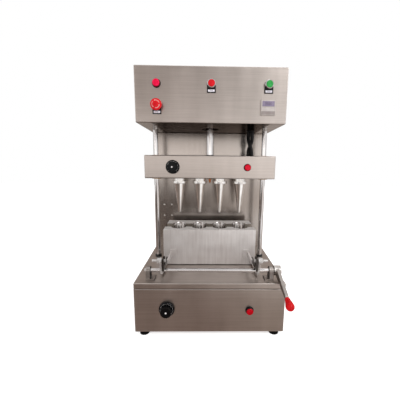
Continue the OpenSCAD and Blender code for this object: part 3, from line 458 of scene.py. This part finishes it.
def leadPath(spec, start):
    points = []
    for i in range(spec["points"]):
        down = i / (spec["points"] - 1)
        turned = min(1, max(0, (down - spec["straight"]) / (1 - 2 * spec["straight"])))
        eased = turned * turned * (3 - 2 * turned)
        angle = math.radians(start + spec["twist"] * eased)
        points.append(place(spec["middle"][0] + spec["spread"] * math.cos(angle),
                            spec["middle"][1] + spec["spread"] * math.sin(angle),
                            spec["top"] + (spec["bottom"] - spec["top"]) * down))
    return points


def makeLead(name, spec, start):
    path = leadPath(spec, start)
    bm = bmesh.new()
    rings = []
    for i, point in enumerate(path):
        along = path[min(i + 1, len(path) - 1)] - path[max(i - 1, 0)]
        turn = Vector((0, 0, -1)).rotation_difference(along).to_matrix().to_4x4()
        ring = bmesh.ops.create_circle(bm, radius=spec["diameter"] / 2 * mm, segments=spec["sides"],
                                       matrix=Matrix.Translation(point) @ turn)["verts"]
        rings.append(list({edge for vert in ring for edge in vert.link_edges}))
    for upper, lower in zip(rings, rings[1:]):
        bmesh.ops.bridge_loops(bm, edges=upper + lower)
    bmesh.ops.holes_fill(bm, edges=rings[0] + rings[-1], sides=0)
    bmesh.ops.recalc_face_normals(bm, faces=bm.faces)
    for face in bm.faces:
        face.smooth = len(face.verts) == 4  # all but the two ends
    lead = addPiece(name, bm, "siliconeSleeve", replaced=["power_leads"])
    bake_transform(lead)


for name, start in leadSpec["starts"].items():
    makeLead(name, leadSpec, start)
print("leads made")


# housings and blocks get the rounded folds and broken edges that press brake and mill leave; below the height
# "cut" the sheet's edges stay sharp, at the height "step" its outer edges are rounded too, and where a part
# has more than one finish, "where" says how its faces are told apart
mouldFinishes = "milledAluminium honedAluminium groundAluminium stainedAluminium"
foldSpecs = {
    "base_housing": {"radius": 1.1, "finish": "brushedStainless", "slot": "satin_stainless", "body": "frame",
                     "cut": 13.1, "step": 171.5},
    "base_top_plate": {"radius": 2, "finish": "brushedStainless", "slot": "satin_stainless",
                       "body": "frame"},
    "head_housing": {"radius": 2.5, "finish": "brushedStainless", "slot": "satin_stainless",
                     "body": "frame"},
    "back_column": {"radius": 1.5, "finish": "millStainless", "slot": "satin_stainless", "body": "frame"},
    "crosshead_housing": {"radius": 3.5, "finish": "brushedStainless", "slot": "satin_stainless",
                          "body": "crosshead"},
    "mould_rear_half": {"radius": 0.8, "finish": mouldFinishes, "slot": "machined_aluminium",
                        "body": "frame", "where": "mould"},
    "mould_front_half": {"radius": 0.8, "finish": mouldFinishes, "slot": "machined_aluminium",
                         "body": "front_mould", "where": "mould"},
    "timer_case": {"radius": 1.2, "finish": "greyAbs", "slot": "timer_grey", "body": "frame"},
    "shaft_brackets": {"radius": 0.8, "finish": "bareSteel blackOxideSteel", "slot": "bright_steel",
                       "body": "frame", "where": "inner side"},
    "lever_arm": {"radius": 0.8, "finish": "bareSteel zincPlatedSteel", "slot": "bright_steel",
                  "body": "lever", "where": "hub"},
    "lamp_lenses": {"radius": 0.5, "slot": "red_lens", "body": "frame", "where": "lamps",
                    "finish": "redPolycarbonate redPolycarbonateUnlit redPolycarbonateDeep phenolicBlack"},
    "crosshead_lamp_lens": {"radius": 0.5, "finish": "redPolycarbonateDim redPolycarbonateDeep",
                            "slot": "red_lens", "body": "crosshead", "where": "lens side"},
}
# where a finish ends: places in mm, the others parts of a face's normal
finishLimits = {"meeting": (200, 270), "hubFront": 20, "lampSplit": 300, "leaning": 0.99, "square": 0.9,
                "lensSide": 0.6}


def pickFinish(face, where, limits):
    middle, normal = face.calc_center_median(), face.normal
    behind = (middle.y - frontY) / mm
    if where == "mould":
        if max(abs(part) for part in normal) < limits["leaning"]:  # only the seats lean
            return 1
        # upward faces take the paler copy as painted light
        if normal.z > limits["square"]:
            return 2
        # faces where the halves meet take the darker copy as painted shade
        meets = limits["meeting"][0] < behind < limits["meeting"][1]  # open or shut
        return 3 if meets and abs(normal.y) > limits["square"] else 0
    # the brackets' inner faces take black as painted shade
    if where == "inner side":
        return int(normal.x * middle.x < 0 and abs(normal.x) > limits["square"])
    # the lever's hub takes the paler zinc as painted light
    if where == "hub":
        return int(behind > limits["hubFront"])
    # side walls of the head's and crosshead's lenses take a darker red as painted shade
    side = int(abs(normal.y) < limits["lensSide"])
    if where == "lens side":
        return side
    return 2 * side + int(middle.z < limits["lampSplit"] * mm)  # the base's lamp is below the head's


def reachFrom(face, edge):
    start = edge.verts[0].co
    along = (edge.verts[1].co - start).normalized()
    return max(((v.co - start) - along * (v.co - start).dot(along)).length for v in face.verts)


def liesAt(edge, axis, level):
    return all(abs(v.co[axis] - level) < planeGap for v in edge.verts)


# a fold is an edge of the part's own box with room for its radius on both faces
def isFold(edge, corners, spec):
    onBox = sum(any(liesAt(edge, axis, corner[axis]) for corner in corners) for axis in range(3))
    if onBox == 1:
        return "step" in spec and liesAt(edge, 2, spec["step"] * mm)
    if "cut" in spec and all(v.co.z < spec["cut"] * mm for v in edge.verts):
        return False
    leastReach = 2.5 * spec["radius"] * mm
    return onBox == 2 and all(reachFrom(face, edge) > leastReach for face in edge.link_faces)


def roundFolds(name, spec):
    bm = bmesh.new()
    bm.from_mesh(nodes[name].data)
    bmesh.ops.remove_doubles(bm, verts=bm.verts, dist=mergeGap)
    bmesh.ops.dissolve_limit(bm, angle_limit=flatAngle, verts=bm.verts, edges=bm.edges)
    bm.normal_update()
    if "where" in spec:
        for face in bm.faces:
            face.material_index = pickFinish(face, spec["where"], finishLimits)
    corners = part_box(name)
    folds = [edge for edge in bm.edges if isFold(edge, corners, spec)]
    bmesh.ops.bevel(bm, geom=folds, offset=spec["radius"] * mm, offset_type="OFFSET", affect="EDGES",
                    segments=3, profile=0.5, material=-1)
    addPiece(name + "_folded", bm, spec["finish"], spec["body"], [name])
    return len(folds)


for name, spec in foldSpecs.items():
    print("folds on", name, roundFolds(name, spec))


# button-head screws with a hexagon socket, all drawn from one shape; the outline ends at the socket's rim
screwSpec = {"outline": [(0, 0), (4.5, 0), (4.5, 0.75), (3.96, 1.98), (3.06, 2.76), (2, 3)], "depth": 1.6,
             "steps": 24}
front, back, left, right = (0, -1, 0), (0, 1, 0), (-1, 0, 0), (1, 0, 0)
screwPlaces = {
    "frame": [((x, 385, z), front) for x in (-214, -179) for z in (401, 348)]
    + [((x, 470, z), back) for x in (-248, 248) for z in (210, 380, 550, 716, 750, 900)]
    + [((x, 470, 900), back) for x in (-90, 90)]
    + [((x, y, 183), facing) for x, facing in ((-260, left), (260, right)) for y in (45, 235, 425)],
    "crosshead": [((x, y, 546), facing) for x, facing in ((-260, left), (260, right)) for y in (222, 306)]
    + [((x, 323, 546), back) for x in (-215, -72, 72, 215)],
    "front_mould": [((x, y, 242.4), facing) for x, facing in ((-162, left), (162, right)) for y in (78, 92)],
}


def screwShape(spec):
    bm = bmesh.new()
    spinOutline(bm, spec["outline"], spec["steps"])
    bmesh.ops.remove_doubles(bm, verts=bm.verts, dist=mergeGap)
    rim = [edge for edge in bm.edges if edge.is_boundary]
    for vert in {vert for edge in rim for vert in edge.verts}:  # six flats in the socket
        turn = math.atan2(vert.co.y, vert.co.x) % (math.pi / 3) - math.pi / 6
        vert.co.xy *= math.cos(math.pi / 6) / math.cos(turn)
    sunk = bmesh.ops.extrude_edge_only(bm, edges=rim)["geom"]
    bmesh.ops.translate(bm, verts=[part for part in sunk if isinstance(part, bmesh.types.BMVert)],
                        vec=(0, 0, -spec["depth"] * mm))
    bmesh.ops.holes_fill(bm, edges=[edge for edge in bm.edges if edge.is_boundary], sides=0)
    bmesh.ops.recalc_face_normals(bm, faces=bm.faces)
    mesh = bpy.data.meshes.new("screwShape")
    bm.to_mesh(mesh)
    bm.free()
    return mesh


def setOn(bm, mesh, point, facing):
    old = set(bm.verts)
    bm.from_mesh(mesh)
    turn = Vector((0, 0, 1)).rotation_difference(Vector(facing)).to_matrix().to_4x4()
    bmesh.ops.transform(bm, matrix=Matrix.Translation(point) @ turn, verts=addedSince(bm, old))


screw = screwShape(screwSpec)
for body, places in screwPlaces.items():
    bm = bmesh.new()
    for point, facing in places:
        setOn(bm, screw, place(*point), facing)
    addPiece(body + "_screws", bm, "polishedPunchSteel", body)
bpy.data.meshes.remove(screw)
print("screws set")


# rubber feet: flared to a sharp rim, with a moulded groove
footSpec = {"places": [(-230, 16), (230, 16), (-230, 454), (230, 454)], "steps": 32,
            "outline": [(0, 1), (12, 1), (13, 0), (16.5, 0), (17, 0.5), (16.8, 2.5), (15.6, 7.5), (14.2, 8),
                        (14.2, 9.5), (15.2, 10), (15, 13), (0, 13)]}


def makeFeet(spec):
    bm = bmesh.new()
    for x, y in spec["places"]:
        foot = spinOutline(bm, spec["outline"], spec["steps"])
        bmesh.ops.translate(bm, verts=foot, vec=place(x, y, 0))
    closeShape(bm)
    addPiece("moulded_feet", bm, "nitrileRubber", "frame", ["rubber_feet"])


makeFeet(footSpec)
print("feet made")


# grey strip that fills the joint under the lid
gasketSpec = {"size": (520, 470), "middle": 172.25, "height": 1.4, "inset": 0.4, "wide": 1.1, "round": 0.2}


def makeGasket(spec):
    bm = bmesh.new()
    wide, height = spec["wide"], spec["height"]
    across, deep = [side - 2 * spec["inset"] for side in spec["size"]]
    centre = spec["size"][1] / 2
    for side in (-1, 1):
        addBlock(bm, place(0, centre + side * (deep - wide) / 2, spec["middle"]), (across, wide, height),
                 spec["round"])
        addBlock(bm, place(side * (across - wide) / 2, centre, spec["middle"]),
                 (wide, deep - 2 * wide, height), spec["round"])
    addPiece("lid_gasket", bm, "greySilicone", "frame")


# domed ends of the mould's slide rods
rodEndSpec = {"ends": [(-172, 58, 203), (172, 58, 203)], "steps": 24,
              "outline": [(0, 2.4), (1.96, 2.208), (3.675, 1.632), (4.655, 0.768), (4.9, 0), (0, -0.2)]}


def makeRodEnds(spec):
    bm = bmesh.new()
    for end in spec["ends"]:
        standUp(bm, spinOutline(bm, spec["outline"], spec["steps"]), place(*end))
    closeShape(bm)
    for face in bm.faces:
        face.smooth = True
    addPiece("slide_rod_ends", bm, "hardChromedSteel", "frame")


makeGasket(gasketSpec)
makeRodEnds(rodEndSpec)
print("gasket and rod ends made")


# printed words on white cards under the buttons
legendSpec = {"size": (22.5, 0.6, 7), "sunk": 0.2, "drop": 21.4, "round": 0.25, "letters": 4.6, "ink": 0.24,
              "cards": {"emergency_collar": "STOP", "stop_cap": "STOP", "start_cap": "START"}}


def addWords(name, words, size, thick, middle, finishes):
    curve = bpy.data.curves.new(name, "FONT")
    curve.body = words
    curve.size = size * mm
    curve.extrude = thick / 2 * mm
    curve.align_x = "CENTER"
    curve.align_y = "CENTER"
    writing = bpy.data.objects.new(name + "_curve", curve)
    scene.collection.objects.link(writing)
    bpy.context.view_layer.update()
    mesh = bpy.data.meshes.new_from_object(writing.evaluated_get(bpy.context.evaluated_depsgraph_get()))
    bpy.data.objects.remove(writing)
    bm = bmesh.new()
    bm.from_mesh(mesh)
    bpy.data.meshes.remove(mesh)
    standUp(bm, bm.verts, middle)
    addPiece(name, bm, finishes, "frame")


def makeLegends(spec):
    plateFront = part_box("legend_plates")[0][1]
    thick = spec["size"][1]
    bm = bmesh.new()
    for i, (node, words) in enumerate(spec["cards"].items()):
        spot = middleOf(node)
        z = spot.z - spec["drop"] * mm
        addBlock(bm, (spot.x, plateFront - (thick / 2 - spec["sunk"]) * mm, z), spec["size"], spec["round"])
        cardFront = plateFront - (thick - spec["sunk"]) * mm
        addWords("legend_words_" + str(i + 1), words, spec["letters"], spec["ink"],
                 Vector((spot.x, cardFront, z)), "blackInk")
    addPiece("legend_cards", bm, "legendCard", "frame")


makeLegends(legendSpec)
print("legends made")


# white marks round the knobs' skirts, and a pale round cap in the middle of each knob as a painted highlight
dialSpec = {"knobs": {"upper_knob": "upper_dial", "lower_knob": "lower_dial"}, "lift": 4, "skirt": 9,
            "ticks": 28, "sweep": 270, "inner": 20.6, "long": 3, "longEvery": 4, "short": 1.8, "wide": 0.7,
            "thick": 0.4, "round": 0.1,
            "cap": [(0, 27.8), (1.92, 27.64), (3.2, 27), (0, 26.7)], "capSteps": 24}


def makeDial(node, body, spec):
    spot, backY = middleOf(node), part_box(node)[1][1]
    bm = bmesh.new()
    for i in range(spec["ticks"]):
        long = spec["short"] if i % spec["longEvery"] else spec["long"]
        tick = addBlock(bm, (0, (spec["inner"] + long / 2) * mm, spec["skirt"] * mm),
                        (spec["wide"], long, spec["thick"]), spec["round"])
        angle = math.radians(spec["sweep"] * (i / (spec["ticks"] - 1) - 0.5))
        bmesh.ops.rotate(bm, verts=tick, cent=(0, 0, 0), matrix=Matrix.Rotation(angle, 3, "Z"))
    spinOutline(bm, spec["cap"], spec["capSteps"])
    closeShape(bm)
    standUp(bm, bm.verts, (spot.x, backY + spec["lift"] * mm, spot.z))
    addPiece(node + "_marks", bm, "whiteInk", body)


for node, body in dialSpec["knobs"].items():
    makeDial(node, body, dialSpec)
print("dials marked")


# three turned arrows on the crown of the emergency stop
arrowSpec = {"count": 3, "first": 20, "radius": 12.4, "half": 1.2, "sweep": 78, "steps": 10, "head": 20,
             "headHalf": 2.7, "crown": 29.3, "proud": 0.18, "thick": 0.3}


def crownPoint(spec, radius, angle):
    drop = spec["crown"] - math.sqrt(spec["crown"] ** 2 - radius ** 2)
    turn = math.radians(angle)
    return Vector((radius * math.cos(turn), radius * math.sin(turn), spec["proud"] - drop)) * mm


def makeArrows(spec):
    spot, crownY = middleOf("emergency_mushroom"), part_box("emergency_mushroom")[0][1]
    bm = bmesh.new()
    for i in range(spec["count"]):
        start = 360 / spec["count"] * i + spec["first"]
        end = start + spec["sweep"]
        verts = [bm.verts.new(crownPoint(spec, spec["radius"] + side * spec["half"], start))
                 for side in (-1, 0, 1)]
        edges = [bm.edges.new(pair) for pair in zip(verts, verts[1:])]
        bmesh.ops.spin(bm, geom=verts + edges, cent=(0, 0, 0), axis=(0, 0, 1),
                       angle=math.radians(spec["sweep"]), steps=spec["steps"])
        bm.faces.new([bm.verts.new(crownPoint(spec, spec["radius"] + side * spec["headHalf"], end + turn))
                      for side, turn in ((-1, 0), (1, 0), (0, spec["head"]))])
    bmesh.ops.recalc_face_normals(bm, faces=bm.faces)
    for face in bm.faces:
        if face.normal.z < 0:
            face.normal_flip()
    bmesh.ops.solidify(bm, geom=bm.faces, thickness=spec["thick"] * mm)
    standUp(bm, bm.verts, (spot.x, crownY, spot.z))
    addPiece("emergency_arrows", bm, "pinkInk", "emergency_stop")


makeArrows(arrowSpec)
print("arrows made")


# timer: figures in the window, two rows of keys and a grey strip below them
timerSpec = {"figures": "00:00", "height": 11, "ink": 0.2, "strip": (47, 0.8, 11), "stripAt": -17.6,
             "stripRound": 0.3, "key": (8.4, 1.2, 4.4), "keyRound": 0.5, "rows": (-2.6, -8), "keyStep": 10,
             "keys": 4}


def makeTimer(spec):
    window, case = middleOf("timer_display"), middleOf("timer_case")
    windowFront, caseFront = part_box("timer_display")[0][1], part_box("timer_case")[0][1]
    addWords("timer_figures", spec["figures"], spec["height"], spec["ink"],
             Vector((window.x, windowFront, window.z)), "lcdSegment")
    strip = bmesh.new()
    addBlock(strip, (case.x, caseFront, case.z + spec["stripAt"] * mm), spec["strip"], spec["stripRound"])
    addPiece("timer_strip", strip, "keypadGrey", "frame")
    keys = bmesh.new()
    for i in range(spec["keys"]):
        x = case.x + (i - (spec["keys"] - 1) / 2) * spec["keyStep"] * mm
        for row in spec["rows"]:
            addBlock(keys, (x, windowFront, case.z + row * mm), spec["key"], spec["keyRound"])
    addPiece("timer_keys", keys, "keypadFilm", "frame")


makeTimer(timerSpec)
print("timer made")


# white floor that keeps the soft shadow; all of the stage is in metres
floorSpec = {"half": 6, "glow": 0.62, "paint": "#f4f4f4"}


# one for rays from the camera, mirrors and glass, which show the stage white
def seesStage(tree):
    path = addNode(tree, "ShaderNodeLightPath").outputs
    first = addNode(tree, "ShaderNodeMath", links={0: path["Is Camera Ray"], 1: path["Is Glossy Ray"]},
                    operation="MAXIMUM")
    second = addNode(tree, "ShaderNodeMath",
                     links={0: first.outputs["Value"], 1: path["Is Transmission Ray"]}, operation="MAXIMUM")
    return second.outputs["Value"]


def addStagePlane(name, corners, material):
    bm = bmesh.new()
    bm.faces.new([bm.verts.new(corner) for corner in corners])
    plane = addObject(name, bm, [material])
    return plane


def makeFloor(spec):
    material, tree = emptyMaterial("whiteFloor")
    paint = addNode(tree, "ShaderNodeBsdfDiffuse", {"Color": hexToLinear(spec["paint"])}).outputs["BSDF"]
    glow = addNode(tree, "ShaderNodeEmission", {"Strength": spec["glow"]})
    both = addNode(tree, "ShaderNodeAddShader", links={0: paint, 1: glow.outputs["Emission"]})
    pick = addNode(tree, "ShaderNodeMixShader",
                   links={"Fac": seesStage(tree), 1: paint, 2: both.outputs["Shader"]})
    addNode(tree, "ShaderNodeOutputMaterial", links={"Surface": pick.outputs["Shader"]})
    half = spec["half"]
    addStagePlane("floor", [(-half, -half, 0), (half, -half, 0), (half, half, 0), (-half, half, 0)], material)


# cards that only reflections see, each a band with its own shade at each place along X: three on the floor
# before the machine, three upright ones behind the camera and one behind the machine
cardSpecs = {
    "nearFloor": {"height": 0.002, "half": 4, "span": (-0.62, 1.2),
                  "stops": [(-1, "#95847b"), (0, "#95847c"), (0.25, "#b0a299"), (0.6, "#d0c5be")]},
    "midFloor": {"height": 0.002, "half": 4, "span": (-1.6, -0.62), "glow": 1.25,
                 "stops": [(-1, "#746a64"), (-0.25, "#7b716b"), (0.05, "#b9b1ac"), (0.3, "#ffffff")]},
    "farFloor": {"height": 0.002, "half": 4, "span": (-6, -1.6),
                 "stops": [(-0.8, "#5f544d"), (-0.1, "#574d46"), (0.28, "#a59a93"), (0.58, "#fff6f0")]},
    "lowWall": {"depth": -3, "half": 3, "span": (0.38, 0.95), "glow": 2.0,
                "stops": [(-1, "#fffcfa"), (0, "#eae6e3"), (0.5, "#f4f2f0"), (1, "#f9f9f9")]},
    "highWall": {"depth": -2.6, "half": 3, "span": (0.95, 1.5), "glow": 1.06,
                 "stops": [(-1.3, "#b9b0ab"), (-0.6, "#c6beba"), (0, "#dad5d3"), (0.7, "#ffffff")]},
    "topWall": {"depth": -2.6, "half": 3, "span": (1.5, 3),
                "stops": [(-1.3, "#bbb2ad"), (-0.6, "#c7bfbb"), (0.1, "#cdc8c6"), (0.8, "#dcdad8")]},
    "behind": {"depth": 1.3, "half": 3, "span": (0.002, 2.4),
               "stops": [(-1, "#b3a8a1"), (0, "#b3a8a1"), (0.5, "#c0b5ae"), (1, "#c9bfb8")]},
}
shadeReach = 2  # the shades of a card are spread this far each side of the middle


def makeCard(name, spec):
    material, tree = emptyMaterial(name)
    coords = addNode(tree, "ShaderNodeTexCoord")
    across = addNode(tree, "ShaderNodeSeparateXYZ", links={"Vector": coords.outputs["Object"]})
    along = addNode(tree, "ShaderNodeMapRange", {"From Min": -shadeReach, "From Max": shadeReach},
                    {"Value": across.outputs["X"]})
    ramp = addNode(tree, "ShaderNodeValToRGB", links={"Fac": along.outputs["Result"]},
                   stops=[((x + shadeReach) / (2 * shadeReach), shade) for x, shade in spec["stops"]])
    glow = addNode(tree, "ShaderNodeEmission", {"Strength": spec.get("glow", 1)},
                   {"Color": ramp.outputs["Color"]})
    addNode(tree, "ShaderNodeOutputMaterial", links={"Surface": glow.outputs["Emission"]})
    half, (low, high) = spec["half"], spec["span"]
    corners = [(-half, low), (half, low), (half, high), (-half, high)]
    if "height" in spec:
        corners = [(x, y, spec["height"]) for x, y in corners]
    else:
        corners = [(x, spec["depth"], z) for x, z in corners]
    card = addStagePlane(name, corners, material)
    card.visible_camera = card.visible_diffuse = card.visible_shadow = card.visible_transmission = False


makeFloor(floorSpec)
for name, spec in cardSpecs.items():
    makeCard(name, spec)

# even light from all round, and soft boxes with their power in watts
worldSpec = {"light": 0.75}
lampSpecs = {
    "keyRight": {"place": (1.3, -1.5, 1.9), "aim": (0, 0, 0.45), "size": 1.0, "power": 15},
    "fillLeft": {"place": (-1.6, -1.3, 1.3), "aim": (0, 0, 0.45), "size": 1.2, "power": 2},
    "topBack": {"place": (0.2, 0.7, 2.2), "aim": (0, 0, 0.6), "size": 1.2, "power": 6},
}


def makeWorld(spec):
    scene.world = bpy.data.worlds.new("studio")
    scene.world.use_nodes = True
    tree = scene.world.node_tree
    tree.nodes.clear()
    strength = addNode(tree, "ShaderNodeMapRange", {"To Min": spec["light"], "To Max": 1},
                       {"Value": seesStage(tree)})
    shade = addNode(tree, "ShaderNodeBackground", {"Color": (1, 1, 1, 1)},
                    {"Strength": strength.outputs["Result"]})
    addNode(tree, "ShaderNodeOutputWorld", links={"Surface": shade.outputs["Background"]})


def makeLamp(name, spec):
    data = bpy.data.lights.new(name, "AREA")
    data.size = spec["size"]
    data.energy = spec["power"]
    lamp = bpy.data.objects.new(name, data)
    lamp.location = spec["place"]
    aim = Vector(spec["aim"]) - Vector(spec["place"])
    lamp.rotation_euler = aim.to_track_quat("-Z", "Y").to_euler()
    scene.collection.objects.link(lamp)


makeWorld(worldSpec)
for name, spec in lampSpecs.items():
    makeLamp(name, spec)
print("stage set")
